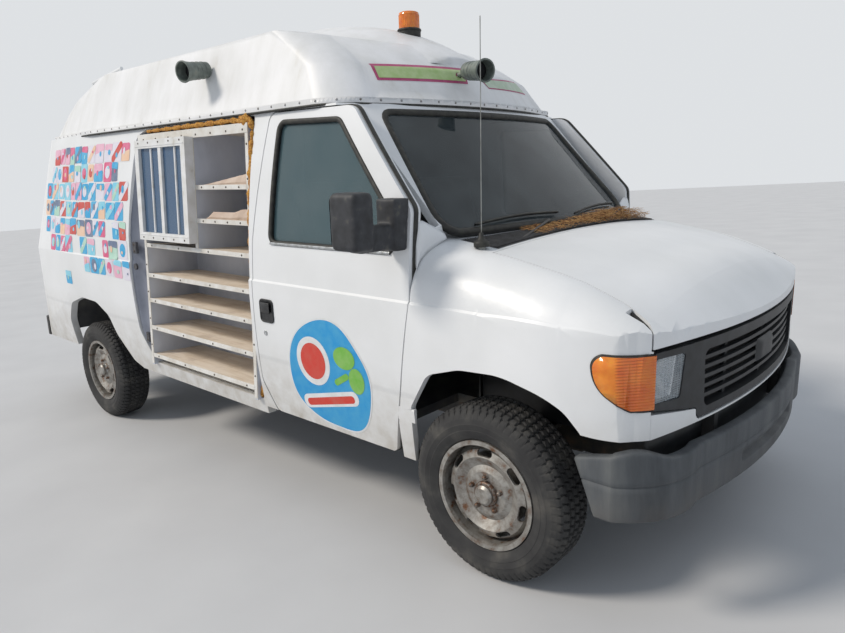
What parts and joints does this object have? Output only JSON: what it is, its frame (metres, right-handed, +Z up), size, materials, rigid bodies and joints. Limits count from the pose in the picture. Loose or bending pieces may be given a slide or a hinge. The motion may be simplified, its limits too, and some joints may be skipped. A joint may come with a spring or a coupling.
{
  "type": "full-size high-roof vending van",
  "caption": "Full-size van with hood ahead of the cab, raised roof cap, side shelf bay with serving window, opening doors and steered front wheels.",
  "frame": {"origin": "on the ground under the middle of the van's length and width", "axes": "+X forward, +Y to the van's left, +Z up"},
  "size_m": [5.3626, 2.262, 2.4769],
  "materials": {
    "white_paint": "gloss",
    "window_glass": "tinted",
    "dark_plastic": "grained",
    "black_steel": "satin",
    "bare_steel": "weathered",
    "tyre_rubber": "matt",
    "clear_lens": "clear",
    "amber_lens": "ribbed",
    "red_lens": "ribbed",
    "shelf_board": "painted board",
    "grey_sheet": "satin",
    "white_trim": "satin",
    "grey_rubber_mat": "ribbed",
    "seat_fabric": "woven"
  },
  "bodies": {
    "root": {"chassis_frame": "black_steel", "engine_block": "black_steel", "engine_cover": "dark_plastic", "fuel_tank": "black_steel", "exhaust": "bare_steel", "front_axle": "black_steel", "rear_axle": "black_steel", "floor": "grey_rubber_mat", "fender_right": "white_paint", "fender_left": "white_paint", "cowl": "white_paint", "windscreen_frame": "white_paint", "windscreen": "window_glass", "body_side_right": "white_paint", "body_side_left": "white_paint", "rear_frame": "white_paint", "high_roof": "white_paint", "front_valance": "white_paint", "grille": "dark_plastic", "headlamps": "clear_lens", "corner_lamps": "amber_lens", "front_bumper": "dark_plastic", "rear_bumper": "black_steel", "tail_lamps": "red_lens", "shelf_back": "grey_sheet", "shelf_posts": "grey_sheet", "shelf_boards": "shelf_board", "serving_frame": "white_trim", "serving_glass": "window_glass", "dashboard": "dark_plastic", "steering_wheel": "dark_plastic", "seats": "seat_fabric", "beacon_base": "dark_plastic", "beacon_lens": "amber_lens", "roof_horn": "dark_plastic", "side_horn": "dark_plastic", "roof_bar": "bare_steel", "antenna": "bare_steel", "wipers": "dark_plastic"},
    "hood": {"hood": "white_paint"},
    "front_door_right": {"front_door_right": "white_paint", "door_glass_right": "window_glass", "mirror_right": "dark_plastic"},
    "rear_door_right": {"rear_door_right": "white_paint", "rear_glass_right": "window_glass"},
    "knuckle_right": {"knuckle_right": "black_steel"},
    "wheel_front_right": {"rim_front_right": "bare_steel", "tyre_front_right": "tyre_rubber"},
    "wheel_rear_right": {"rim_rear_right": "bare_steel", "tyre_rear_right": "tyre_rubber"},
    "front_door_left": {"front_door_left": "white_paint", "door_glass_left": "window_glass"},
    "rear_door_left": {"rear_door_left": "white_paint", "rear_glass_left": "window_glass"},
    "knuckle_left": {"knuckle_left": "black_steel"},
    "wheel_front_left": {"rim_front_left": "bare_steel", "tyre_front_left": "tyre_rubber"},
    "wheel_rear_left": {"rim_rear_left": "bare_steel", "tyre_rear_left": "tyre_rubber"}
  },
  "joints": [
    {"name": "hood_hinge", "type": "hinge", "parent": "root", "child": "hood", "pos_m": [1.87399, 0.124, 1.31405], "axis": [0, -1, 0], "range_deg": [0, 50]},
    {"name": "front_door_right_hinge", "type": "hinge", "parent": "root", "child": "front_door_right", "pos_m": [1.59574, -0.882, 1.01292], "axis": [0.04, 0, 0.9992], "range_deg": [0, 66]},
    {"name": "rear_door_right_hinge", "type": "hinge", "parent": "root", "child": "rear_door_right", "pos_m": [-2.55095, -0.614, 1.17875], "axis": [0.1009, 0, 0.9949], "range_deg": [0, 90]},
    {"name": "steer_right", "type": "hinge", "parent": "root", "child": "knuckle_right", "pos_m": [1.90638, -0.628, 0.354], "axis": [0, 0, 1], "range_deg": [-30, 30]},
    {"name": "wheel_front_right_spin", "type": "hinge", "parent": "knuckle_right", "child": "wheel_front_right", "pos_m": [1.90638, -0.757, 0.354], "axis": [0, 1, 0], "continuous": true},
    {"name": "wheel_rear_right_spin", "type": "hinge", "parent": "root", "child": "wheel_rear_right", "pos_m": [-1.59862, -0.726, 0.354], "axis": [0, 1, 0], "continuous": true},
    {"name": "front_door_left_hinge", "type": "hinge", "parent": "root", "child": "front_door_left", "pos_m": [1.59574, 1.13, 1.01292], "axis": [-0.04, 0, -0.9992], "range_deg": [0, 66]},
    {"name": "rear_door_left_hinge", "type": "hinge", "parent": "root", "child": "rear_door_left", "pos_m": [-2.55095, 0.862, 1.17875], "axis": [-0.1009, 0, -0.9949], "range_deg": [0, 90]},
    {"name": "steer_left", "type": "hinge", "parent": "root", "child": "knuckle_left", "pos_m": [1.90638, 0.876, 0.354], "axis": [0, 0, 1], "range_deg": [-30, 30]},
    {"name": "wheel_front_left_spin", "type": "hinge", "parent": "knuckle_left", "child": "wheel_front_left", "pos_m": [1.90638, 1.005, 0.354], "axis": [0, 1, 0], "continuous": true},
    {"name": "wheel_rear_left_spin", "type": "hinge", "parent": "root", "child": "wheel_rear_left", "pos_m": [-1.59862, 0.974, 0.354], "axis": [0, 1, 0], "continuous": true}
  ],
  "couplings": [
    {"joint": "steer_left", "follows": "steer_right", "ratio": 1}
  ]
}
